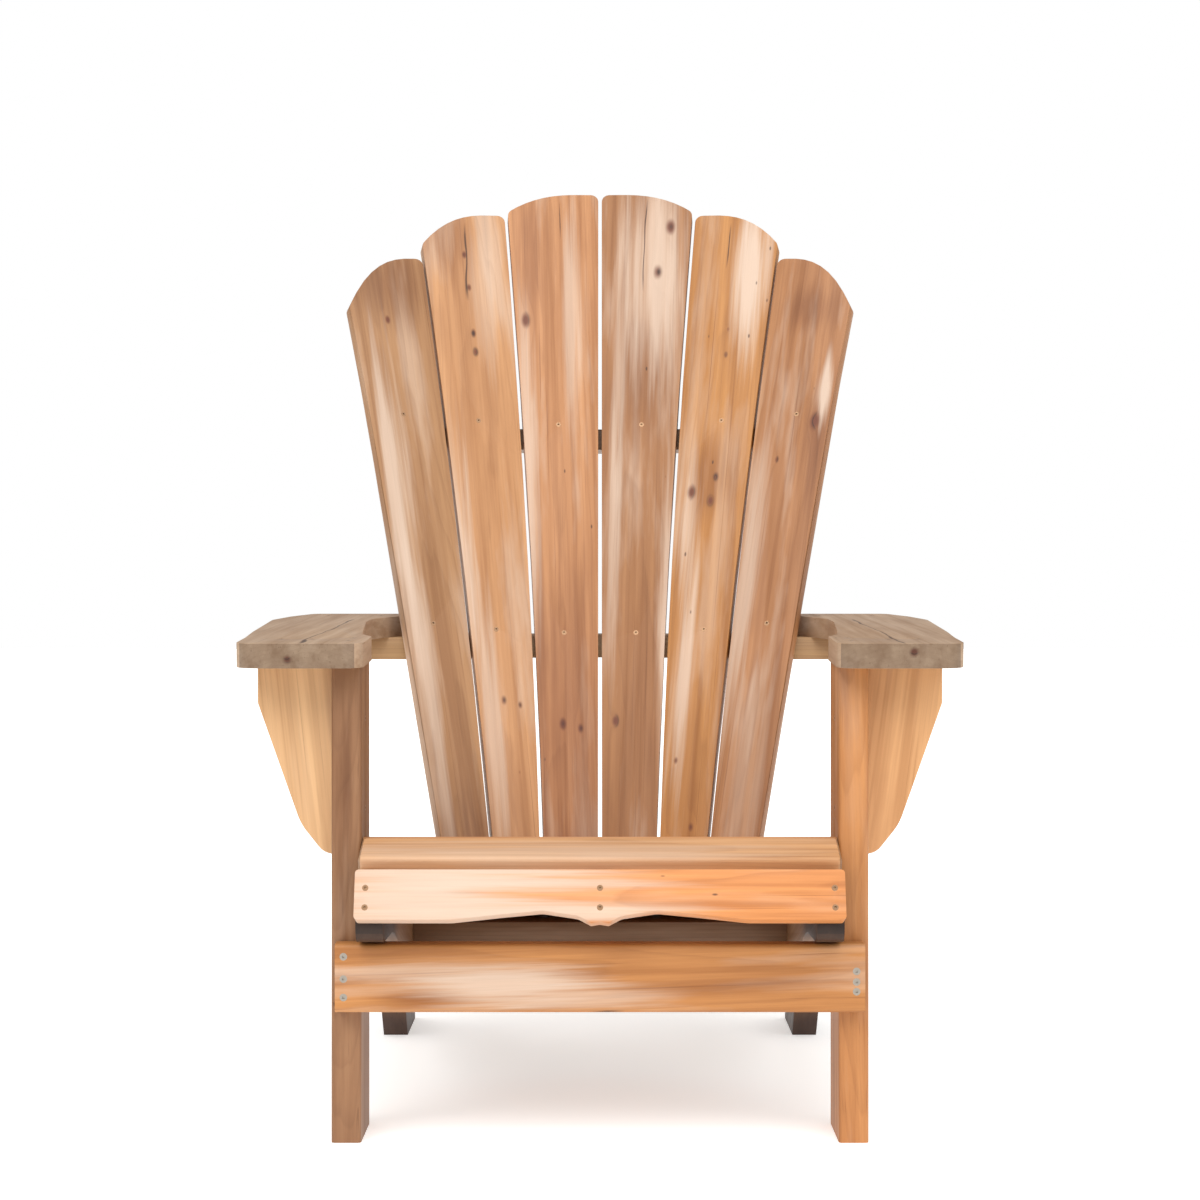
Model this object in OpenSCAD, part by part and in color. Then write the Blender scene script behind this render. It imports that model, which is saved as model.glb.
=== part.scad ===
// Adirondack chair in solid cedar: fan back of six tapered slats on three rails, sloping slatted
// seat on two side rails, splayed arms on bracketed front legs. +Z is up and the sitter faces -Y.
// Lengths are in mm. Left is the sitter's left, at +X.

/* [Frame] */
// Clear width between the front legs
span = 498; // [490:1:506]
// Height of the arm underside at the front face of the front legs
arm_height = 496.8; // [490:0.1:505]
// Rise of the arms towards the rear, in degrees
arm_slope = 2.2; // [1.5:0.1:3]
// Thickness of the four legs
leg_stock = 31; // [28:1:34]
// Width of the front legs, front to rear
leg_depth = 89; // [86:1:92]
// Thickness of the side rails and cross rails
rail_stock = 28; // [26:1:30]

/* [Back] */
// Lean of the back from the vertical, in degrees
back_lean = 21; // [20:0.5:22]
// Thickness of the back slats
slat_stock = 19; // [17:1:20]
// Gap between neighbouring back slats
slat_gap = 4.8; // [4:0.2:6]
// Radius of the hollow of the back at the lower end of the slats
hollow_low = 435; // [420:5:480]
// Radius of the hollow of the back at the top of the slats
hollow_top = 900; // [860:10:980]

/* [Seat] */
// Thickness of the seat slats
seat_stock = 20; // [18:1:20]
// Fall of the seat towards the rear, in degrees
seat_fall = 15.8; // [15:0.2:16.6]
// Width of each seat slat
seat_slat_width = 60; // [57:1:61]
// Gap between seat slats
seat_gap = 5.5; // [5:0.5:7]

/* [Arms] */
// Thickness of the arm boards
arm_stock = 25.5; // [22:0.5:27]
// Thickness of the brackets under the arms
bracket_stock = 25; // [22:1:28]

/* [Fasteners] */
// Radius of a screw head
head_radius = 3.2; // [3:0.1:4]
// Radius of the larger screw heads on the front stretcher
stretcher_head_radius = 3.9; // [3.5:0.1:4.5]
// Radius of a screw shank
shank_radius = 2.1; // [1.8:0.1:2.4]
// Radius of a leg bolt
bolt_radius = 4; // [3:0.5:4.5]

/* [Hidden] */
$fn = 32;
cedar = [0.76, 0.52, 0.34];
steel = [0.72, 0.73, 0.74];
half_span = span / 2;
mid_depth = 355.4;
turn_steps = 5;
far = 1200;
head_height = 3;
point_height = 4;
drive_width = 2.4;
drive_depth = 1.6;

// Back, in its own upright frame: the slat edges from the middle outwards at three heights
low_edges = [0, 66.5, 119.5, 172];
mid_edges = [0, 97, 191, 283];
top_edges = [0, 130.5, 253, 367];
mid_station = 600;
top_station = 1030;
back_foot = [0, 392.3, 140];
slat_length = [1051, 1013, 936];
crown_offset = [25, 22, 14];
crown_fall = [0.00028, 0.00053, 0.00081];
crown_power = 2.5;
crown_rounding = 10;
foot_rounding = 4;
edge_steps = 8;
upper_screw_row = 696;
upper_row_lift = [5, 4, 0];
arm_screw_row = 408;
lower_screw_row = 32;

// Seat profile in the Y-Z plane
seat_peak = [12, 319];
nose_lean = 18.4;
nose_length = 52;
peak_gap = 3;
seat_count = 6;
last_slat_width = 94;
screw_line = half_span - rail_stock / 2;
seat_screw_inset = 15;
apron_top = [-57, 292];
apron_lean = 19;
apron_height = 51.5;
apron_screw_line = 238;
apron_screw_rows = [-19, -39];

// Legs, rails and bolts in the Y-Z plane
rear_foot = 573;
rear_leg_lean = 50;
rear_leg_width = 92;
rear_leg_length = 230;
rail_rear = 560;
rail_rear_floor = 62;
rail_front_floor = 216;
rib_rear = 388;
front_bolts = [[30, 262], [62, 238]];
rear_bolts = [[500, 118], [530, 96]];
stretcher_width = 547;
stretcher_stock = 25;
stretcher_floor = 140;
stretcher_height = 71;
left_stretcher_screws = [183, 172, 162];
right_stretcher_screws = [198, 175, 156];
lower_rail_floor = 156;
lower_rail_front = 313;
lower_rail_rear = 402;
lower_rail_screws = [330, 360];
upper_rail_floor = 763;
upper_rail_half = 285;
upper_rail_front = 560;
upper_rail_rear = 738;
upper_rail_radius = 420;
upper_rail_steps = 12;
arm_rail_half = 375;
arm_rail_rear = 601;
arm_rail_front = 512;
bracket_front = 33;
bracket_screws_at = [345, 440];
bracket_root = half_span + leg_stock;
bracket_reach = bracket_root + 81.5;

// Corners of the left arm in the X-Y plane, each with its rounding, and its screws
arm_corners = [[244, -35, 20], [375.5, -35, 24], [381, 74, 150], [390, 185, 200], [401, 363, 200],
  [406, 448, 90], [395, 530, 90], [374, 606, 14], [232, 606, 8], [232, 560, 10], [256, 541, 26],
  [285, 470, 70], [285, 400, 160], [270, 224, 200], [262, 140, 60], [247, 92, 24]];
leg_middle = half_span + leg_stock / 2;
bracket_middle = bracket_front + bracket_stock / 2;
arm_screw_spots = [[leg_middle, 24], [leg_middle, 66], [306, bracket_middle], [338, bracket_middle],
  [282, 558], [350, 558]];

// Leg bolts: their heads sink into the legs, and washers and nuts sit on the side rails
bolt_recess = 4.2;
bolt_end = 12;
washer_radius = 9.5;
washer_stock = 1.6;
nut_radius = 7.5;
nut_stock = 6.8;
bolt_grip = leg_stock + rail_stock;
bolt_length = bolt_grip + bolt_end - bolt_recess;

function unit(v) = v / norm(v);
function turn(a, b) = (b - a + 540) % 360 - 180;
function bearing(v) = atan2(v[1], v[0]);
// A corner at q between p and s, eased to radius r
function eased(p, q, s, r) =
  let (a = unit(p - q), b = unit(s - q), half = acos(a * b) / 2)
  let (reach = r / tan(half), c = q + unit(a + b) * r / sin(half))
  let (first = bearing(q + a * reach - c), step = turn(first, bearing(q + b * reach - c)) / turn_steps)
  [for (i = [0:turn_steps]) c + r * [cos(first + step * i), sin(first + step * i)]];
// Point where the line through p along d meets the line through q along e
function meet(p, d, q, e) =
  let (across = q - p)
  p + d * (across[0] * e[1] - across[1] * e[0]) / (d[0] * e[1] - d[1] * e[0]);
function outline(corners) =
  let (n = len(corners))
  [for (i = [0:n - 1])
    let (q = [corners[i][0], corners[i][1]], r = corners[i][2])
    let (p = [corners[(i + n - 1) % n][0], corners[(i + n - 1) % n][1]])
    let (s = [corners[(i + 1) % n][0], corners[(i + 1) % n][1]])
    each (r > 0 ? eased(p, q, s, r) : [q])];
function board_section(w, t, r) = outline([[0, 0, r], [w, 0, r], [w, t, r], [0, t, r]]);

module placed() {
  translate([0, -mid_depth, 0])
    children();
}

// Draws a Y-Z profile and pushes it along X, from near to far
module along_x(near, far) {
  translate([near, 0, 0])
    rotate([90, 0, 90])
      linear_extrude(height = far - near)
        children();
}

// Draws an X-Z profile and pushes it along Y, from near to far
module along_y(near, far) {
  translate([0, far, 0])
    rotate([90, 0, 0])
      linear_extrude(height = far - near)
        children();
}

module on_side(left) {
  if (left)
    children();
  else
    mirror([1, 0, 0])
      children();
}

// Screw with its countersunk head flush at the origin, pointing along +Z
module screw_body(length, head) {
  cylinder(h = head_height, r1 = head, r2 = shank_radius);
  translate([0, 0, head_height])
    cylinder(h = length - head_height - point_height, r = shank_radius);
  translate([0, 0, length - point_height])
    cylinder(h = point_height, r1 = shank_radius, r2 = 0.5);
}

module screw(length, head) {
  difference() {
    screw_body(length, head);
    translate([-drive_width / 2, -drive_width / 2, -1])
      cube([drive_width, drive_width, drive_depth + 1]);
  }
}

module maybe_screw(length, solid, head = head_radius) {
  if (solid)
    screw_body(length, head);
  else
    screw(length, head);
}

// The plane of the arm undersides
module arm_plane() {
  translate([0, 0, arm_height])
    rotate([arm_slope, 0, 0])
      children();
}

module above_arms() {
  arm_plane()
    translate([-far, -far, 0])
      cube([far * 2, far * 2, 80]);
}

// ---- Back ----
function edge_at(k, z) =
  let (a = low_edges[k], b = mid_edges[k], c = top_edges[k])
  let (u = (z - mid_station) * (z - top_station) / (mid_station * top_station))
  let (v = z * (z - top_station) / (mid_station * (mid_station - top_station)))
  let (w = z * (z - mid_station) / (top_station * (top_station - mid_station)))
  a * u + b * v + c * w;
function hollow(x, radius) = sqrt(radius * radius - x * x) - radius;
function low_centre(k) = (low_edges[k - 1] + low_edges[k]) / 2;
function top_centre(k) = (top_edges[k - 1] + top_edges[k]) / 2;
function low_depth(k) = (hollow(low_edges[k - 1], hollow_low) + hollow(low_edges[k], hollow_low)) / 2;
function top_depth(k) = (hollow(top_edges[k - 1], hollow_top) + hollow(top_edges[k], hollow_top)) / 2;
function top_rise(k) = hollow(top_edges[k], hollow_top) - hollow(top_edges[k - 1], hollow_top);
function slat_turn(k) = atan(top_rise(k) / (top_edges[k] - top_edges[k - 1]));
function slat_splay(k) = atan((top_centre(k) - low_centre(k)) / top_station);
function slat_tip(k) = atan((low_depth(k) - top_depth(k)) / top_station);
function centre_at(k, z) = low_centre(k) + (top_centre(k) - low_centre(k)) * z / top_station;
function inner_at(k, z) = (edge_at(k - 1, z) - centre_at(k, z)) / cos(slat_turn(k)) + slat_gap / 2;
function outer_at(k, z) = (edge_at(k, z) - centre_at(k, z)) / cos(slat_turn(k)) - slat_gap / 2;
function crown(k, d) = slat_length[k - 1] - crown_fall[k - 1] * pow(d, crown_power);
function crown_start(k) = inner_at(k, slat_length[k - 1]) + crown_offset[k - 1];
function crown_width(k) = outer_at(k, slat_length[k - 1] - 40) - crown_start(k);
function slat_corners(k) =
  let (top = slat_length[k - 1], start = crown_start(k), wide = crown_width(k), n = edge_steps)
  let (shoulder = crown(k, wide))
  concat(
    [[inner_at(k, 0), 0, foot_rounding]],
    [for (i = [1:n - 1]) [inner_at(k, top * i / n), top * i / n, 0]],
    [[inner_at(k, top), top, crown_rounding]],
    [for (i = [0:n - 1]) [start + wide * i / n, crown(k, wide * i / n), 0]],
    [[start + wide, shoulder, crown_rounding]],
    [for (i = [n - 1:-1:1]) [outer_at(k, shoulder * i / n), shoulder * i / n, 0]],
    [[outer_at(k, 0), 0, foot_rounding]]);

// Slat frame: x across the slat towards the outside, y from its front face to its rear, z up it
module slat_frame(k, left) {
  on_side(left)
    translate(back_foot)
      rotate([-back_lean, 0, 0])
        translate([low_centre(k), low_depth(k), 0])
          rotate([slat_tip(k), slat_splay(k), 0])
            rotate([0, 0, slat_turn(k)])
              children();
}

module slat_screw(k, row, solid) {
  lift = row == upper_screw_row ? upper_row_lift[k - 1] : 0;
  height = row / cos(slat_splay(k)) + lift;
  translate([0, 0, height])
    rotate([-90, 0, 0])
      maybe_screw(slat_stock + 28, solid);
}

module slat_foot_screw(solid) {
  translate([0, slat_stock, lower_screw_row])
    rotate([90, 0, 0])
      maybe_screw(slat_stock + 26, solid);
}

module back_slat(k, left) {
  color(cedar)
    placed()
      slat_frame(k, left)
        difference() {
          along_y(0, slat_stock)
            polygon(outline(slat_corners(k)));
          slat_screw(k, upper_screw_row, true);
          slat_screw(k, arm_screw_row, true);
          slat_foot_screw(true);
        }
}

// Box along one slat, wider than it by a margin on its inner and on its outer edge
module slat_box(k, low, high, front, depth, inner, outer) {
  near = inner_at(k, low) - inner;
  translate([near, front, low])
    cube([outer_at(k, high) + outer - near, depth, high - low]);
}

// Space in front of the rear faces of the slats, to shape the rails behind them
module before_slats(low, high) {
  for (left = [true, false])
    for (k = [1:3])
      slat_frame(k, left)
        slat_box(k, low, high, slat_stock - 200, 200, 12, k == 3 ? 6 : 2);
}

// Space behind the front faces of the slats
module behind_slats(low, high, clear) {
  for (left = [true, false])
    for (k = [1:3])
      slat_frame(k, left)
        slat_box(k, low, high, -clear, 140, 8, k == 3 ? 14 : 6);
}

module rail_screws(row, solid) {
  for (left = [true, false])
    for (k = [1:3])
      slat_frame(k, left)
        slat_screw(k, row, solid);
}

module foot_screws(solid) {
  for (left = [true, false])
    for (k = [1:3])
      slat_frame(k, left)
        slat_foot_screw(solid);
}

module upper_back_rail() {
  step = asin(upper_rail_half / upper_rail_radius) / upper_rail_steps;
  middle = upper_rail_rear - upper_rail_radius;
  front = [[upper_rail_half, upper_rail_front], [-upper_rail_half, upper_rail_front]];
  rear = [for (i = [-upper_rail_steps:upper_rail_steps])
    [upper_rail_radius * sin(step * i), middle + upper_rail_radius * cos(step * i)]];
  color(cedar)
    placed()
      difference() {
        translate([0, 0, upper_rail_floor])
          linear_extrude(height = rail_stock)
            polygon(concat(front, rear));
        before_slats(560, 820);
        rail_screws(upper_screw_row, true);
      }
}

module arm_rail() {
  color(cedar)
    placed()
      difference() {
        arm_plane()
          translate([0, arm_rail_front, -rail_stock])
            linear_extrude(height = rail_stock)
              translate([-arm_rail_half, 0])
                polygon(board_section(arm_rail_half * 2, arm_rail_rear - arm_rail_front, 8));
        before_slats(300, 480);
        rail_screws(arm_screw_row, true);
        arm_screw_set(true);
      }
}

module lower_back_rail() {
  inside = half_span - rail_stock;
  color(cedar)
    placed()
      difference() {
        translate([-inside, lower_rail_front, lower_rail_floor])
          cube([inside * 2, lower_rail_rear - lower_rail_front, rail_stock]);
        behind_slats(-40, 120, 0);
        foot_screws(true);
        lower_rail_screw_set(true);
      }
}

// ---- Legs, side rails and seat ----
module front_leg(left) {
  color(cedar)
    placed()
      on_side(left)
        difference() {
          translate([half_span, 0, 0])
            linear_extrude(height = arm_height + 12)
              polygon(board_section(leg_stock, leg_depth, 3.5));
          above_arms();
          bolt_holes(front_bolts);
          leg_screw_holes(left);
        }
}

module leg_screw_holes(left) {
  on_side(left) {
    stretcher_screw_set(true);
    arm_screw_set(true);
    bracket_screw_set(true);
  }
}

module rear_leg(left) {
  up = [-cos(rear_leg_lean), sin(rear_leg_lean)];
  across = [sin(rear_leg_lean), cos(rear_leg_lean)];
  crest = [rear_foot, 0] + up * rear_leg_length;
  far_crest = crest + across * rear_leg_width;
  color(cedar)
    placed()
      on_side(left)
        difference() {
          along_x(half_span, half_span + leg_stock)
            polygon(outline([[rear_foot, 0, 3], [rear_foot + rear_leg_width / sin(rear_leg_lean), 0, 3],
              [far_crest[0], far_crest[1], 14], [crest[0], crest[1], 14]]));
          bolt_holes(rear_bolts);
        }
}

// Undersides of the seat boards and the rear face of the apron, which the rails are cut to
nose_under = seat_peak + seat_stock * [sin(nose_lean), -cos(nose_lean)];
nose_run = [cos(nose_lean), sin(nose_lean)];
seat_under = seat_peak + seat_stock * [-sin(seat_fall), -cos(seat_fall)];
seat_run = [cos(seat_fall), -sin(seat_fall)];
apron_rear = apron_top + seat_stock * [cos(apron_lean), -sin(apron_lean)];
apron_up = [sin(apron_lean), cos(apron_lean)];
rail_bend = meet(nose_under, nose_run, seat_under, seat_run);
rail_front = meet(nose_under, nose_run, apron_rear, apron_up);
rail_toe = meet(apron_rear, apron_up, [0, rail_front_floor], [1, 0]);
rail_heel = meet(seat_under, seat_run, [rail_rear, 0], [0, 1]);

module side_rail(left) {
  color(cedar)
    placed()
      on_side(left)
        difference() {
          along_x(half_span - rail_stock, half_span)
            polygon(outline([[rail_front[0], rail_front[1], 0], [rail_bend[0], rail_bend[1], 0],
              [rail_heel[0], rail_heel[1], 16], [rail_rear, rail_rear_floor, 16],
              [rail_rear - 55, rail_rear_floor, 60], [60, rail_front_floor - 4, 160],
              [rail_toe[0], rail_toe[1], 18]]));
          bolt_holes(front_bolts);
          bolt_holes(rear_bolts);
          seat_screw_set(true);
          apron_screw_set(true);
          lower_rail_screw_set(true);
        }
}

module bolt_holes(places) {
  for (at = places)
    translate([half_span - rail_stock - 5, at[0], at[1]])
      rotate([0, 90, 0]) {
        cylinder(h = bolt_grip + 10, r = bolt_radius);
        translate([0, 0, 5 + bolt_grip - bolt_recess])
          cylinder(h = bolt_recess + 5, r = washer_radius + 1);
      }
}

module seat_rib() {
  end = meet(seat_under, seat_run, [rib_rear, 0], [0, 1]);
  toe = apron_rear - apron_up * 52;
  shelf = lower_rail_floor + rail_stock;
  color(cedar)
    placed()
      difference() {
        along_x(-rail_stock / 2, rail_stock / 2)
          polygon([rail_front, rail_bend, end, [rib_rear, shelf], [lower_rail_front - 3, shelf], toe]);
        seat_screw_set(true);
        apron_screw_set(true);
      }
}

// Frame of a seat slat: origin on its top front edge, y along its top, z out of its top
module seat_frame(i) {
  if (i == 0)
    translate([0, seat_peak[0], seat_peak[1]])
      rotate([nose_lean, 0, 0])
        translate([0, -nose_length - peak_gap, 0])
          children();
  else
    translate([0, seat_peak[0], seat_peak[1]])
      rotate([-seat_fall, 0, 0])
        translate([0, peak_gap + (i - 1) * (seat_slat_width + seat_gap), 0])
          children();
}

function seat_width(i) = i == 0 ? nose_length : i == seat_count ? last_slat_width : seat_slat_width;
function seat_rows(i) = [seat_screw_inset, i == seat_count ? 44 : seat_width(i) - seat_screw_inset];

// The nose slat shows no screws: it is held from below
module seat_screw_set(solid) {
  for (i = [1:seat_count])
    seat_frame(i)
      for (x = [-screw_line, 0, screw_line])
        for (y = seat_rows(i))
          translate([x, y, 0])
            rotate([180, 0, 0])
              maybe_screw(seat_stock + 22, solid);
}

module seat_slat(i) {
  half = i < 3 ? half_span - 0.5 : half_span;
  color(cedar)
    placed()
      difference() {
        seat_frame(i)
          translate([0, 0, -seat_stock])
            along_x(-half, half)
              polygon(board_section(seat_width(i), seat_stock, 5));
        if (i == seat_count)
          behind_slats(-20, 150, 3);
        seat_screw_set(true);
      }
}

// Apron slat frame: origin at the top of its front face, z up it, y into it
module apron_frame() {
  translate([0, apron_top[0], apron_top[1]])
    rotate([-apron_lean, 0, 0])
      children();
}

module apron_screw_set(solid) {
  apron_frame()
    for (x = [-apron_screw_line, 0, apron_screw_line])
      for (z = apron_screw_rows)
        translate([x, 0, z])
          rotate([-90, 0, 0])
            maybe_screw(seat_stock + 26, solid);
}

module front_apron_slat() {
  low = -apron_height;
  right_half = [[9, low - 3, 3], [22, low + 4, 14], [58, low + 9.5, 36], [100, low + 5.5, 90],
    [150, low, 70], [half_span, low, 4], [half_span, 0, 4]];
  left_half = [for (i = [6:-1:0]) [-right_half[i][0], right_half[i][1], right_half[i][2]]];
  color(cedar)
    placed()
      difference() {
        apron_frame()
          along_y(0, seat_stock)
            polygon(outline(concat([[0, low - 1.5, 0]], right_half, left_half)));
        apron_screw_set(true);
      }
}

module stretcher_screw_set(solid) {
  for (z = left_stretcher_screws)
    translate([leg_middle, -stretcher_stock, z])
      rotate([-90, 0, 0])
        maybe_screw(stretcher_stock + 38, solid, stretcher_head_radius);
  for (z = right_stretcher_screws)
    translate([-leg_middle, -stretcher_stock, z])
      rotate([-90, 0, 0])
        maybe_screw(stretcher_stock + 38, solid, stretcher_head_radius);
}

module front_stretcher() {
  color(cedar)
    placed()
      difference() {
        translate([0, -stretcher_stock, stretcher_floor])
          along_x(-stretcher_width / 2, stretcher_width / 2)
            polygon(board_section(stretcher_stock, stretcher_height, 5));
        stretcher_screw_set(true);
      }
}

// ---- Arms ----
module arm_screw_set(solid) {
  for (left = [true, false])
    on_side(left)
      arm_plane()
        for (at = arm_screw_spots)
          translate([at[0], at[1], arm_stock])
            rotate([180, 0, 0])
              maybe_screw(arm_stock + 22, solid);
}

module arm(left) {
  color(cedar)
    placed()
      difference() {
        on_side(left)
          arm_plane()
            linear_extrude(height = arm_stock)
              polygon(outline(arm_corners));
        arm_screw_set(true);
      }
}

module bracket_screw_set(solid) {
  for (left = [true, false])
    on_side(left)
      for (z = bracket_screws_at)
        translate([half_span, bracket_middle, z])
          rotate([0, 90, 0])
            maybe_screw(leg_stock + 26, solid);
}

module arm_bracket(left) {
  color(cedar)
    placed()
      difference() {
        on_side(left)
          along_y(bracket_front, bracket_front + bracket_stock)
            polygon(outline([[bracket_root, 297, 0], [bracket_root + 12, 299, 20],
              [bracket_root + 36, 329, 60], [bracket_reach, 457, 12],
              [bracket_reach, arm_height + 12, 0], [bracket_root, arm_height + 12, 0]]));
        above_arms();
        arm_screw_set(true);
        bracket_screw_set(true);
      }
}

// ---- Fasteners ----
module lower_rail_screw_set(solid) {
  for (left = [true, false])
    on_side(left)
      for (y = lower_rail_screws)
        translate([half_span, y, lower_rail_floor + rail_stock / 2])
          rotate([0, -90, 0])
            maybe_screw(rail_stock + 30, solid);
}

module at_bolts(x) {
  for (left = [true, false])
    on_side(left)
      for (at = concat(front_bolts, rear_bolts))
        translate([x, at[0], at[1]])
          rotate([0, 90, 0])
            children();
}

module leg_bolts() {
  color(steel)
    placed()
      at_bolts(half_span - rail_stock - bolt_end) {
        cylinder(h = bolt_length, r = bolt_radius);
        translate([0, 0, bolt_length])
          cylinder(h = 1.8, r = washer_radius);
        translate([0, 0, bolt_length + 1.8])
          cylinder(h = 2.2, r1 = washer_radius, r2 = 5.5);
      }
}

module leg_washers() {
  color(steel)
    placed()
      at_bolts(half_span - rail_stock - washer_stock)
        difference() {
          cylinder(h = washer_stock, r = washer_radius);
          translate([0, 0, -1])
            cylinder(h = washer_stock + 2, r = bolt_radius);
        }
}

module leg_nuts() {
  color(steel)
    placed()
      at_bolts(half_span - rail_stock - washer_stock - nut_stock)
        difference() {
          cylinder(h = nut_stock, r = nut_radius, $fn = 6);
          translate([0, 0, -1])
            cylinder(h = nut_stock + 2, r = bolt_radius);
        }
}

back_slat(3, false);  // back_slat_1
back_slat(2, false);  // back_slat_2
back_slat(1, false);  // back_slat_3
back_slat(1, true);  // back_slat_4
back_slat(2, true);  // back_slat_5
back_slat(3, true);  // back_slat_6
upper_back_rail();
arm_rail();
lower_back_rail();
arm(true);  // arm_left
arm(false);  // arm_right
front_leg(true);  // front_leg_left
front_leg(false);  // front_leg_right
rear_leg(true);  // rear_leg_left
rear_leg(false);  // rear_leg_right
side_rail(true);  // side_rail_left
side_rail(false);  // side_rail_right
seat_rib();
arm_bracket(true);  // arm_bracket_left
arm_bracket(false);  // arm_bracket_right
front_stretcher();
front_apron_slat();
seat_slat(0);  // seat_slat_1
seat_slat(1);  // seat_slat_2
seat_slat(2);  // seat_slat_3
seat_slat(3);  // seat_slat_4
seat_slat(4);  // seat_slat_5
seat_slat(5);  // seat_slat_6
seat_slat(6);  // seat_slat_7
color(steel) placed() rail_screws(upper_screw_row, false);  // back_screws_upper
color(steel) placed() rail_screws(arm_screw_row, false);  // back_screws_middle
color(steel) placed() foot_screws(false);  // back_screws_lower
color(steel) placed() stretcher_screw_set(false);  // stretcher_screws
color(steel) placed() apron_screw_set(false);  // apron_screws
color(steel) placed() seat_screw_set(false);  // seat_screws
color(steel) placed() arm_screw_set(false);  // arm_screws
color(steel) placed() bracket_screw_set(false);  // bracket_screws
color(steel) placed() lower_rail_screw_set(false);  // lower_rail_screws
leg_bolts();
leg_washers();
leg_nuts();
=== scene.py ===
import math

import bpy
import numpy as np
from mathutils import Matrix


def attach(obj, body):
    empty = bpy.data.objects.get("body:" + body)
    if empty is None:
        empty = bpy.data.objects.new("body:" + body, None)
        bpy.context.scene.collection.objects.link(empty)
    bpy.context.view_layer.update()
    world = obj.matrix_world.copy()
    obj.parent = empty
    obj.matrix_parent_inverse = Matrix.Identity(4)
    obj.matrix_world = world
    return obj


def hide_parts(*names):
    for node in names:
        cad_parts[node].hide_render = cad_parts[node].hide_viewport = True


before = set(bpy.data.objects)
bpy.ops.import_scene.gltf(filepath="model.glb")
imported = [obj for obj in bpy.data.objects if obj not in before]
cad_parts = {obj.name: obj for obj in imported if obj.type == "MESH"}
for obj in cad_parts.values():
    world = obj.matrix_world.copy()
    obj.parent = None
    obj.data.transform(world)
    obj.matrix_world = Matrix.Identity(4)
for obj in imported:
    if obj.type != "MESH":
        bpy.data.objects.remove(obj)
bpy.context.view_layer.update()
print("frame loaded")


def linear(hexColor):
    channels = [int(hexColor[i:i + 2], 16) / 255 for i in (1, 3, 5)]
    return tuple(c / 12.92 if c <= 0.04045 else ((c + 0.055) / 1.055) ** 2.4 for c in channels) + (1.0,)


def shaded(color, shares):
    return tuple(min(c * share, 0.95) for c, share in zip(color, shares)) + (1.0,)


def addNode(tree, kind, settings=None, inputs=None):
    node = tree.nodes.new("ShaderNode" + kind)
    for key, value in (settings or {}).items():
        setattr(node, key, value)
    for key, value in (inputs or {}).items():
        if isinstance(value, bpy.types.NodeSocket):
            tree.links.new(value, node.inputs[key])
        else:
            node.inputs[key].default_value = value
    return node


def freshMaterial(name):
    material = bpy.data.materials.new(name)
    material.use_nodes = True
    tree = material.node_tree
    tree.nodes.clear()
    shader = addNode(tree, "BsdfPrincipled")
    addNode(tree, "OutputMaterial", inputs={0: shader.outputs[0]})
    return material, tree, shader


cedar = {
    "tone": "#B57F53",  # orange brown heartwood
    "deep": (0.74, 0.66, 0.58),  # darker streaks, as a share of the tone
    "warm": (1.2, 1.26, 1.3),  # lighter streaks
    "late": (0.45, 0.34, 0.26),  # late wood lines and pores
    "sapwood": "#D3BAA5",
    "stainAndShade": "#C9B7A8",  # weathered ends and handled places, and painted shade low on the back slats, multiplied over the wood
    # painted shade for the feet of the rear legs and the front ends of the side rails, low and under the seat
    "paintedEndShade": "#66513F",
    "knot": "#32190F",
    "knotRim": "#6B361F",
    "sawnEnd": (0.55, 0.55, 0.55, 1.0),  # sawn ends soak up more oil and look darker
    "ringsPerMetre": 210.0,  # growth rings about 5 mm apart on a flat sawn face
    "roughness": 0.5,
    "ior": 1.5,
    "specular": 0.4,
}

# Noise in the board's own metres: cycles per metre along, across and through it, then detail, roughness
# and a shift of its own. The fibres are drawn about 1 mm apart, coarser than real so that they show.
grainLayers = {
    "sway": ((1.1, 7.0, 9.0), 2.0, 0.55, 0.0),
    "wave": ((6.0, 40.0, 40.0), 2.0, 0.55, 7.0),
    "fibre": ((7.0, 900.0, 900.0), 3.0, 0.6, 0.0),
    "streak": ((1.6, 70.0, 60.0), 3.0, 0.6, 3.0),
    "cloud": ((2.4, 16.0, 12.0), 2.0, 0.5, 11.0),
    "marble": ((3.2, 24.0, 18.0), 4.0, 0.55, 23.0),
    "pore": ((2.2, 420.0, 300.0), 2.0, 0.5, 17.0),
    "ragged": ((2.4, 75.0, 30.0), 4.0, 0.6, 5.0),
}


def grainNoises(tree, grain, seed):
    noises = {}
    for name, (scale, detail, rough, shift) in grainLayers.items():
        start = (shift + seed * 1.7, seed * 3.1, seed * 0.9)
        place = addNode(tree, "Mapping", inputs={0: grain, 1: start, 3: scale})
        noise = addNode(tree, "TexNoise",
            inputs={0: place.outputs[0], "Scale": 1.0, "Detail": detail, "Roughness": rough})
        noises[name] = noise.outputs[0]
    return noises


# Distance of each point from a centre in the board's own metres, with each direction scaled
def distanceFrom(tree, grain, centre, scale):
    offset = tuple(-c * s for c, s in zip(centre, scale))
    moved = addNode(tree, "VectorMath", {"operation": "MULTIPLY_ADD"}, {0: grain, 1: scale, 2: offset})
    return addNode(tree, "VectorMath", {"operation": "LENGTH"}, {0: moved.outputs[0]}).outputs["Value"]


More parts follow.
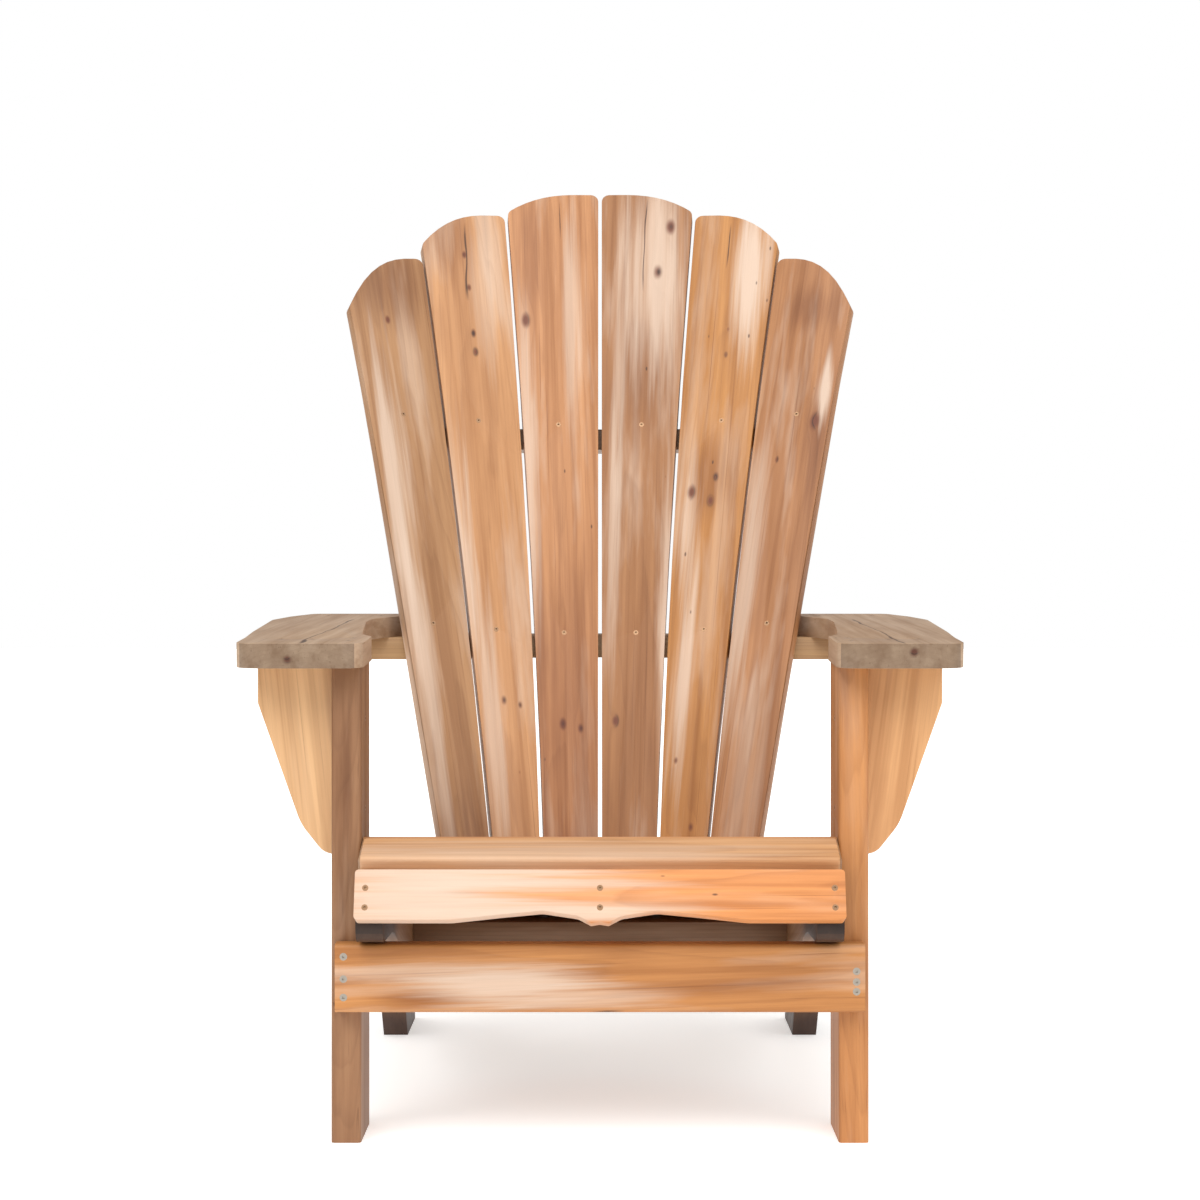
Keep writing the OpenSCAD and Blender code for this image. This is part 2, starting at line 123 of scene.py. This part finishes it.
# pith is where the middle of the tree lies, across and behind the board
# Late wood lines where the board cuts the growth rings, and a mask of the knots that push them aside
def growthRings(tree, grain, noises, pith, knots):
    radius = distanceFrom(tree, grain, (0.0, pith[0], -pith[1]), (0.0, 1.0, 1.0))
    knotMask = None
    for name, amount in (("sway", 0.035), ("wave", 0.006)):
        bend = addNode(tree, "Math", {"operation": "MULTIPLY_ADD"},
            {0: noises[name], 1: amount, 2: -amount / 2})
        radius = addNode(tree, "Math", {"operation": "ADD"}, {0: radius, 1: bend.outputs[0]}).outputs[0]
    for along, across, size, *taper in knots:
        away = distanceFrom(tree, grain, (along, across, 0.0), (0.55, 1.0, taper[0] if taper else 0.15))
        uneven = addNode(tree, "Math", {"operation": "MULTIPLY_ADD"},
            {0: noises["wave"], 1: size * 1.2, 2: -size * 0.6})
        away = addNode(tree, "Math", {"operation": "ADD"}, {0: away, 1: uneven.outputs[0]}).outputs[0]
        fade = addNode(tree, "Math", {"operation": "MULTIPLY"}, {0: away, 1: -1.0 / (size * 1.6)})
        push = addNode(tree, "Math", {"operation": "POWER"}, {0: 2.718, 1: fade.outputs[0]})
        radius = addNode(tree, "Math", {"operation": "MULTIPLY_ADD"},
            {0: push.outputs[0], 1: size * 1.1, 2: radius}).outputs[0]
        near = addNode(tree, "MapRange", {"interpolation_type": "SMOOTHSTEP"},
            {0: away, 1: size * 1.35, 2: size * 0.35})
        if knotMask is not None:
            near = addNode(tree, "Math", {"operation": "MAXIMUM"}, {0: knotMask, 1: near.outputs[0]})
        knotMask = near.outputs[0]
    turns = addNode(tree, "Math", {"operation": "MULTIPLY"}, {0: radius, 1: cedar["ringsPerMetre"]})
    ring = addNode(tree, "Math", {"operation": "FRACT"}, {0: turns.outputs[0]}).outputs[0]
    lateWood = addNode(tree, "ValToRGB", inputs={0: ring})
    stops = lateWood.color_ramp.elements
    stops[-1].color = (0.0, 0.0, 0.0, 1.0)
    for spot, amount in ((0.62, 0.12), (0.9, 1.0), (0.97, 0.0)):
        stops.new(spot).color = (amount, amount, amount, 1.0)
    return lateWood.outputs[0], knotMask


# Western red cedar, planed and sanded, wiped with clear oil: straight fine grain, darker late wood lines,
# pale sapwood streaks, tight brown knots and a soft satin sheen
def cedarBoard(name, seed, tone=None, patches=(), stainsAndShade=(), knots=(), cracks=(), flecks=0.3, lines=0.3,
        bleach=0.42, damp=0.0, pith=(0.0, 0.11)):
    material, tree, shader = freshMaterial(name)
    heart = linear(tone or cedar["tone"])
    deep, warm, late = (shaded(heart, cedar[key]) for key in ("deep", "warm", "late"))
    grain = addNode(tree, "Attribute", {"attribute_name": "grainSpace"}).outputs["Vector"]
    parts = addNode(tree, "SeparateXYZ", inputs={0: grain})
    along, across = parts.outputs[0], parts.outputs[1]
    noises = grainNoises(tree, grain, seed)
    lateWood, knotMask = growthRings(tree, grain, noises, pith, knots)
    noises["rings"] = lateWood

    # each layer is a noise, the span over which it goes from none to full, its strength and its color
    color = heart
    for layer, start, end, strength, paint, fall in (
            ("streak", 0.5, 0.32, 1.0, deep, "SMOOTHSTEP"), ("streak", 0.5, 0.68, 1.0, warm, "SMOOTHSTEP"),
            ("cloud", 0.0, 1.0, 0.4, warm, "LINEAR"),
            ("marble", 0.52, 0.66, bleach, linear(cedar["sapwood"]), "LINEAR"),
            ("marble", 0.48, 0.34, 0.5, deep, "LINEAR"),
            ("rings", 0.0, 1.0, 0.6 * lines, late, "LINEAR"), ("pore", 0.66, 0.74, 0.5, late, "LINEAR")):
        cover = addNode(tree, "MapRange", {"interpolation_type": fall},
            {0: noises[layer], 1: start, 2: end, 3: 0.0, 4: strength})
        color = addNode(tree, "Mix", {"data_type": "RGBA"},
            {0: cover.outputs[0], 6: color, 7: paint}).outputs[2]

    # stains, painted shade and sapwood: patches with a ragged edge drawn out along the grain
    stainedAndShaded = addNode(tree, "Mix", {"data_type": "RGBA", "blend_type": "MULTIPLY"},
        {0: 1.0, 6: color, 7: linear(cedar["stainAndShade"])})
    for paint, spots in ((stainedAndShaded.outputs[2], stainsAndShade), (linear(cedar["sapwood"]), patches)):
        for spotAlong, spotAcross, length, width, strength in spots:
            spread = distanceFrom(tree, grain, (spotAlong, spotAcross, 0.0), (1.0 / length, 1.0 / width, 0.0))
            frayed = addNode(tree, "Math", {"operation": "MULTIPLY_ADD"},
                {0: noises["ragged"], 1: 3.0, 2: spread})
            cover = addNode(tree, "MapRange", {"interpolation_type": "SMOOTHSTEP"},
                {0: frayed.outputs[0], 1: 3.0, 2: 1.7, 3: 0.0, 4: strength})
            color = addNode(tree, "Mix", {"data_type": "RGBA"},
                {0: cover.outputs[0], 6: color, 7: paint}).outputs[2]

    fine = addNode(tree, "MapRange", inputs={0: noises["fibre"], 1: 0.3, 2: 0.5, 3: 0.936, 4: 1.0})
    color = addNode(tree, "Mix", {"data_type": "RGBA", "blend_type": "MULTIPLY"},
        {0: 1.0, 6: color, 7: fine.outputs[0]}).outputs[2]

    # pin knots: a few dark cells, kept at random by the cell's own color
    place = addNode(tree, "Mapping",
        inputs={0: grain, 1: (seed * 2.3, seed, seed * 0.7), 3: (38.0, 95.0, 60.0)})
    cells = addNode(tree, "TexVoronoi", inputs={0: place.outputs[0], "Scale": 1.0, "Randomness": 1.0})
    chance = addNode(tree, "SeparateColor", inputs={0: cells.outputs["Color"]}).outputs[0]
    kept = addNode(tree, "Math", {"operation": "GREATER_THAN"}, {0: chance, 1: 1.0 - 0.06 * flecks})
    speck = addNode(tree, "MapRange", {"interpolation_type": "SMOOTHSTEP"},
        {0: cells.outputs["Distance"], 1: 0.16, 2: 0.06, 4: 0.75})
    cover = addNode(tree, "Math", {"operation": "MULTIPLY"}, {0: speck.outputs[0], 1: kept.outputs[0]})
    color = addNode(tree, "Mix", {"data_type": "RGBA"},
        {0: cover.outputs[0], 6: color, 7: linear(cedar["knot"])}).outputs[2]

    if knotMask is not None:
        heartOfKnot = addNode(tree, "Mix", {"data_type": "RGBA"},
            {0: lateWood, 6: linear(cedar["knotRim"]), 7: linear(cedar["knot"])})
        cover = addNode(tree, "Math", {"operation": "MULTIPLY"}, {0: knotMask, 1: 0.96})
        color = addNode(tree, "Mix", {"data_type": "RGBA"},
            {0: cover.outputs[0], 6: color, 7: heartOfKnot.outputs[2]}).outputs[2]

    for start, end, crackAcross, width in cracks:
        wander = addNode(tree, "Math", {"operation": "MULTIPLY_ADD"}, {0: noises["wave"], 1: 0.02, 2: across})
        wander = addNode(tree, "Math", {"operation": "SUBTRACT"},
            {0: wander.outputs[0], 1: crackAcross + 0.01})
        away = addNode(tree, "Math", {"operation": "ABSOLUTE"}, {0: wander.outputs[0]})
        cover = addNode(tree, "MapRange",
            inputs={0: away.outputs[0], 1: width, 2: width * 0.3, 3: 0.0, 4: 0.85}).outputs[0]
        for fadeFrom, fadeTo in ((start, start + 0.02), (end, end - 0.02)):
            fade = addNode(tree, "MapRange", inputs={0: along, 1: fadeFrom, 2: fadeTo})
            cover = addNode(tree, "Math", {"operation": "MULTIPLY"},
                {0: cover, 1: fade.outputs[0]}).outputs[0]
        color = addNode(tree, "Mix", {"data_type": "RGBA"},
            {0: cover, 6: color, 7: linear(cedar["knot"])}).outputs[2]

    # painted shade at the low or front end of a board, and sawn ends
    paintedEndShade = addNode(tree, "MapRange", {"interpolation_type": "SMOOTHSTEP"},
        {0: along, 1: 0.2, 2: 0.11, 3: 0.0, 4: damp}).outputs[0]
    sawn = addNode(tree, "Attribute", {"attribute_name": "endGrain"}).outputs["Fac"]
    for cover, paint in ((paintedEndShade, linear(cedar["paintedEndShade"])), (sawn, cedar["sawnEnd"])):
        color = addNode(tree, "Mix", {"data_type": "RGBA", "blend_type": "MULTIPLY"},
            {0: cover, 6: color, 7: paint}).outputs[2]

    rough = addNode(tree, "MapRange",
        inputs={0: noises["streak"], 1: 0.3, 2: 0.7,
            3: cedar["roughness"] + 0.07, 4: cedar["roughness"] - 0.05})
    height = addNode(tree, "Math", {"operation": "MULTIPLY_ADD"}, {0: lateWood, 1: 0.35, 2: noises["fibre"]})
    bump = addNode(tree, "Bump", inputs={"Strength": 0.12, "Distance": 0.0006, "Height": height.outputs[0]})
    shader.inputs["IOR"].default_value = cedar["ior"]
    shader.inputs["Specular IOR Level"].default_value = cedar["specular"]
    tree.links.new(color, shader.inputs["Base Color"])
    tree.links.new(rough.outputs[0], shader.inputs["Roughness"])
    tree.links.new(bump.outputs[0], shader.inputs["Normal"])
    return material


# Stainless steel screws, turned and then scuffed by the driver: grey heads with a soft glint
def stainlessScrew(name, color):
    material, tree, shader = freshMaterial(name)
    place = addNode(tree, "TexCoord").outputs["Object"]
    wear = addNode(tree, "TexNoise",
        inputs={0: place, "Scale": 900.0, "Detail": 2.0})  # scuffs about 1 mm apart
    rough = addNode(tree, "MapRange", inputs={0: wear.outputs[0], 1: 0.3, 2: 0.7, 3: 0.28, 4: 0.42})
    shader.inputs["Base Color"].default_value = linear(color)
    shader.inputs["Metallic"].default_value = 1.0
    tree.links.new(rough.outputs[0], shader.inputs["Roughness"])
    return material


# Zinc plated steel bolts, barrel plated: slightly blue grey and mottled
def zincBolt():
    material, tree, shader = freshMaterial("zinc plated bolt")
    place = addNode(tree, "TexCoord").outputs["Object"]
    mottle = addNode(tree, "TexNoise",
        inputs={0: place, "Scale": 260.0, "Detail": 3.0})  # spangle about 4 mm across
    cover = addNode(tree, "MapRange", inputs={0: mottle.outputs[0], 1: 0.35, 2: 0.65})
    color = addNode(tree, "Mix", {"data_type": "RGBA"},
        {0: cover.outputs[0], 6: linear("#A9ADB2"), 7: linear("#C8CBCC")})
    tree.links.new(color.outputs[2], shader.inputs["Base Color"])
    shader.inputs["Metallic"].default_value = 1.0
    shader.inputs["Roughness"].default_value = 0.38
    return material


# The board's middle and its own directions, longest first, each pointing up, back or towards +X
def boardAxes(mesh):
    centres = np.array([face.center for face in mesh.polygons])
    areas = np.array([face.area for face in mesh.polygons])
    middle = (centres * areas[:, None]).sum(0) / areas.sum()
    spread = ((centres - middle).T * areas) @ (centres - middle)
    axes = np.linalg.eigh(spread)[1].T[::-1]
    lead = 2 if abs(axes[0][2]) > 0.45 else int(np.argmax(np.abs(axes[0])))
    leads = [lead] + [int(np.argmax(np.abs(axis))) for axis in axes[1:]]
    return middle, [axis * np.sign(axis[way]) for axis, way in zip(axes, leads)]


# Stores where each point is in the board and which faces are sawn across the grain
def addGrain(piece, turned):
    mesh = piece.data
    middle, (alongAxis, acrossAxis, depthAxis) = boardAxes(mesh)
    if turned:
        acrossAxis, depthAxis = depthAxis, acrossAxis
    points = np.array([vertex.co for vertex in mesh.vertices]) - middle
    local = np.stack([points @ alongAxis, points @ acrossAxis, points @ depthAxis], 1)
    local[:, 0] -= local[:, 0].min()
    store = mesh.attributes.new("grainSpace", "FLOAT_VECTOR", "POINT")
    store.data.foreach_set("vector", local.astype(np.float32).ravel())
    ends = mesh.attributes.new("endGrain", "FLOAT", "FACE")
    for face, value in zip(mesh.polygons, ends.data):
        value.value = 1.0 if abs(np.dot(face.normal, alongAxis)) > 0.7 else 0.0


# A copy of the board with its sharp edges eased as by a router and sandpaper
def shapeBoard(node, easing):
    bpy.ops.object.select_all(action="DESELECT")
    piece = bpy.data.objects.new(node + "_wood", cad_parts[node].data.copy())
    bpy.context.scene.collection.objects.link(piece)
    bpy.context.view_layer.objects.active = piece
    piece.select_set(True)
    bpy.ops.object.mode_set(mode="EDIT")
    bpy.ops.mesh.select_all(action="SELECT")
    bpy.ops.mesh.remove_doubles(threshold=0.00001)
    bpy.ops.mesh.dissolve_limited(angle_limit=math.radians(0.5))
    bpy.ops.mesh.normals_make_consistent(inside=False)
    bpy.ops.object.mode_set(mode="OBJECT")
    ease = piece.modifiers.new("eased edges", "BEVEL")
    ease.width = easing
    ease.segments = 3
    ease.limit_method = "ANGLE"
    ease.angle_limit = math.radians(40)
    bpy.ops.object.modifier_apply(modifier=ease.name)
    bpy.ops.object.shade_smooth_by_angle(angle=math.radians(32))
    piece.select_set(False)
    return piece


# Per board: a seed, the edge radius and its look, in metres from the lower, front or -X end and from the
# middle of the width. Sapwood patches and stains are (along, across, length, width, strength); some stains
# are painted shade. Cracks are (start, end, across, width), and knots (along, across, size), then how fast
# one tapers into the board. bleach is how pale the sapwood streaks get, the end shade how dark the painted
# shade at the lower or front end is, and a turned board shows its thinner side to the front
boards = {
    # the broad full-width stains low on back slats 1 and 3 are painted shade where the slats run down to the
    # seat
    "back_slat_1": {"seed": 1.0, "easing": 0.004, "tone": "#A2764F", "flecks": 0.5, "bleach": 0.36,
        "knots": [(0.843, -0.004, 0.0032)],
        "patches": [(0.63, -0.024, 0.2, 0.016, 0.75), (0.34, -0.02, 0.18, 0.012, 0.6)],
        "stainsAndShade": [(0.9, 0.0, 0.07, 0.06, 0.9), (0.06, 0.0, 0.1, 0.08, 0.7)]},
    "back_slat_2": {"seed": 2.0, "easing": 0.004, "tone": "#B78356", "flecks": 0.8,
        "knots": [(0.951, -0.002, 0.003), (0.901, 0.001, 0.003), (0.832, 0.002, 0.0035),
            (0.804, 0.003, 0.004),
            (0.315, 0.002, 0.004), (0.308, 0.022, 0.003), (0.22, 0.014, 0.002)],
        "cracks": [(0.88, 1.0, -0.002, 0.0012)],
        "patches": [(0.5, -0.038, 0.2, 0.014, 0.7), (0.29, -0.016, 0.16, 0.013, 0.55),
            (0.9, 0.024, 0.1, 0.02, 0.35)],
        "stainsAndShade": [(0.98, -0.02, 0.06, 0.04, 0.7)]},
    "back_slat_3": {"seed": 3.0, "easing": 0.004, "tone": "#B37C50",
        "knots": [(0.856, -0.041, 0.0065), (0.286, -0.004, 0.004), (0.28, 0.018, 0.0035)],
        "cracks": [(0.98, 1.04, 0.006, 0.0012)],
        "patches": [(0.88, 0.022, 0.14, 0.014, 0.55), (0.62, -0.043, 0.2, 0.012, 0.6)],
        "stainsAndShade": [(0.96, -0.03, 0.09, 0.02, 0.6), (0.3, 0.0, 0.2, 0.07, 0.75),
            (0.08, 0.0, 0.09, 0.08, 0.9)]},
    "back_slat_4": {"seed": 4.0, "easing": 0.004, "tone": "#98663C", "bleach": 0.36,
        "knots": [(1.0, 0.033, 0.0065), (0.93, 0.018, 0.0065), (0.29, -0.022, 0.0045)],
        "cracks": [(0.9, 1.045, -0.003, 0.0014)],
        "patches": [(0.94, 0.01, 0.15, 0.032, 0.7), (0.8, -0.032, 0.22, 0.01, 0.5),
            (0.4, 0.036, 0.2, 0.011, 0.6),
            (0.58, -0.036, 0.16, 0.01, 0.45)],
        "stainsAndShade": [(0.78, 0.0, 0.1, 0.03, 0.5)]},
    "back_slat_5": {"seed": 5.0, "easing": 0.004, "tone": "#AC733A", "flecks": 1.4, "bleach": 0.3,
        "knots": [(0.838, 0.0, 0.0025), (0.8, 0.0, 0.003), (0.622, 0.0, 0.004), (0.6, -0.03, 0.006),
            (0.588, -0.004, 0.005), (0.235, -0.02, 0.003), (0.15, 0.006, 0.0035), (0.13, -0.02, 0.003)],
        "cracks": [(0.93, 1.0, -0.008, 0.0014)],
        "patches": [(0.93, 0.026, 0.1, 0.022, 0.9), (0.55, -0.036, 0.12, 0.014, 0.7),
            (0.33, -0.022, 0.14, 0.014, 0.75)],
        "stainsAndShade": [(0.62, -0.01, 0.06, 0.03, 0.7)]},
    "back_slat_6": {"seed": 6.0, "easing": 0.004, "tone": "#A26E45", "flecks": 0.6,
        "knots": [(0.695, 0.028, 0.007), (0.64, -0.016, 0.003)],
        "patches": [(0.74, 0.036, 0.04, 0.01, 0.9), (0.454, -0.034, 0.18, 0.012, 0.6),
            (0.2, 0.0, 0.14, 0.02, 0.3)],
        "stainsAndShade": [(0.86, 0.0, 0.03, 0.04, 0.6), (0.69, 0.03, 0.08, 0.014, 0.9)]},
    "front_apron_slat": {"seed": 7.0, "easing": 0.003, "flecks": 0.6, "tone": "#CE864C", "lines": 0.4,
        "bleach": 0.25,
        "stainsAndShade": [(0.1, 0.006, 0.05, 0.003, 0.9), (0.07, -0.008, 0.06, 0.002, 0.8),
            (0.36, -0.006, 0.1, 0.004, 0.5)],
        "patches": [(0.07, 0.0, 0.12, 0.06, 0.9), (0.2, -0.016, 0.12, 0.012, 0.8),
            (0.16, 0.014, 0.12, 0.01, 0.7)]},
    "front_stretcher": {"seed": 8.0, "easing": 0.006, "tone": "#B57942", "bleach": 0.3,
        "cracks": [(0.262, 0.3, -0.0295, 0.0022)],
        "patches": [(0.06, 0.018, 0.14, 0.01, 0.55), (0.17, 0.0, 0.08, 0.02, 0.85),
            (0.26, -0.018, 0.08, 0.01, 0.5)],
        "stainsAndShade": [(0.09, -0.012, 0.05, 0.01, 0.9), (0.42, -0.012, 0.1, 0.01, 0.6)]},
    "seat_slat_1": {"seed": 9.0, "easing": 0.005, "tone": "#CC9A6C", "bleach": 0.2,
        "patches": [(0.2, -0.01, 0.2, 0.02, 0.4)]},
    "arm_left": {"seed": 10.0, "easing": 0.008, "tone": "#A88A6E", "bleach": 0.15, "lines": 0.15,
        "knots": [(0.0, 0.012, 0.005, 1.0)],
        "cracks": [(0.0, 0.5, 0.004, 0.0014)]},
    "arm_right": {"seed": 11.0, "easing": 0.008, "tone": "#A88A6E", "bleach": 0.15, "lines": 0.15,
        "knots": [(0.0, -0.012, 0.005, 1.0)],
        "cracks": [(0.0, 0.5, -0.002, 0.0014)]},
    "arm_bracket_left": {"seed": 12.0, "easing": 0.004, "tone": "#CF9A68", "lines": 0.1, "bleach": 0.15},
    "arm_bracket_right": {"seed": 13.0, "easing": 0.004, "tone": "#CFA274", "lines": 0.1, "bleach": 0.15},
    "front_leg_left": {"seed": 14.0, "easing": 0.006, "tone": "#B27643", "bleach": 0.15, "turned": True},
    "front_leg_right": {"seed": 15.0, "easing": 0.006, "tone": "#8D6444", "bleach": 0.15, "turned": True,
        "knots": [(0.362, 0.002, 0.006)],
        "stainsAndShade": [(0.36, 0.0, 0.07, 0.006, 0.6)]},
}
# the upper back rail, lower back rail and side rails get darker tones as painted shade, for the shadow they
# sit in between the slats and under the seat
plainTones = {"upper_back_rail": "#7A5A3E", "arm_rail": "#AC8860", "lower_back_rail": "#6A4C32",
    "rear_leg_left": "#8B6241", "rear_leg_right": "#8B6241", "side_rail_left": "#84603F",
    "side_rail_right": "#84603F"}
plainBoards = list(plainTones) + ["seat_rib"] + [f"seat_slat_{i}" for i in range(2, 8)]
for count, node in enumerate(plainBoards):
    boards[node] = {"seed": 20.0 + count, "easing": 0.003, "tone": plainTones.get(node), "bleach": 0.1}
    # painted shade at the rear legs' feet and at the side rails' front ends under the seat
    if node.startswith(("rear_leg", "side_rail")):
        boards[node]["damp"] = 0.95
    if node not in plainTones:
        boards[node]["patches"] = [(0.12 + 0.07 * (count % 4), 0.012 * (count % 3 - 1), 0.12, 0.016, 0.45)]

for node, look in boards.items():
    look = dict(look)
    piece = shapeBoard(node, look.pop("easing"))
    addGrain(piece, look.pop("turned", False))
    piece.data.materials.clear()
    piece.data.materials.append(cedarBoard("oiled cedar " + node.replace("_", " "), **look))
    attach(piece, "root")
    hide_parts(node)
print("boards shaped:", len(boards))

brightScrew = stainlessScrew("stainless steel screw", "#A39B90")
oiledScrew = stainlessScrew("oil stained steel screw", "#8D6F55")  # wood oil has dried on these heads
boltZinc = zincBolt()
for name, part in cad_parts.items():
    if name not in boards:
        finish = brightScrew if name == "stretcher_screws" else oiledScrew if "screws" in name else boltZinc
        part.data.materials.clear()
        part.data.materials.append(finish)
print("fasteners finished")

studio = {
    "floor": "#F6F6F5",
    "size": 40.0,
    "glow": 0.5,  # the floor is a lit table
    "sky": "#FFFFFF",
    "skyStrength": 0.5,
    "skySeen": 1.0,
    "lights": [(-24, 52, 1.9), (34, 40, 1.0)],  # turn from the front and height in degrees, and strength
    "softness": 50,
}

bpy.ops.object.select_all(action="DESELECT")
bpy.ops.mesh.primitive_plane_add(size=studio["size"], location=(0, 0, 0))
floor = bpy.context.active_object
floor.name = "floor"
floorPaint, floorTree, floorShader = freshMaterial("matt studio floor")
for socket, value in (("Base Color", linear(studio["floor"])), ("Roughness", 0.9),
        ("Emission Color", linear(studio["floor"])), ("Emission Strength", studio["glow"])):
    floorShader.inputs[socket].default_value = value
floor.data.materials.append(floorPaint)

world = bpy.data.worlds.new("studio")
world.use_nodes = True
skyTree = world.node_tree
background = skyTree.nodes["Background"]
background.inputs[0].default_value = linear(studio["sky"])
seen = addNode(skyTree, "LightPath").outputs["Is Camera Ray"]  # the backdrop shows paler than it lights
level = addNode(skyTree, "MapRange", inputs={0: seen, 3: studio["skyStrength"], 4: studio["skySeen"]})
skyTree.links.new(level.outputs[0], background.inputs[1])
bpy.context.scene.world = world
for turn, height, strength in studio["lights"]:
    bpy.ops.object.light_add(type="SUN", rotation=(math.radians(90 - height), 0, math.radians(turn)))
    lamp = bpy.context.active_object
    lamp.data.energy = strength
    lamp.data.angle = math.radians(studio["softness"])
print("light and floor set")

view = {"distance": 2.7054, "height": 0.574, "lens": 67.68, "shiftY": -0.0067}
bpy.ops.object.camera_add(location=(0, -view["distance"], view["height"]), rotation=(math.radians(90), 0, 0))
camera = bpy.context.active_object
camera.data.lens = view["lens"]
camera.data.sensor_width = 36.0
camera.data.shift_y = view["shiftY"]
bpy.context.scene.camera = camera
bpy.context.scene.view_settings.view_transform = "Standard"  # plain sRGB, as a product picture is developed
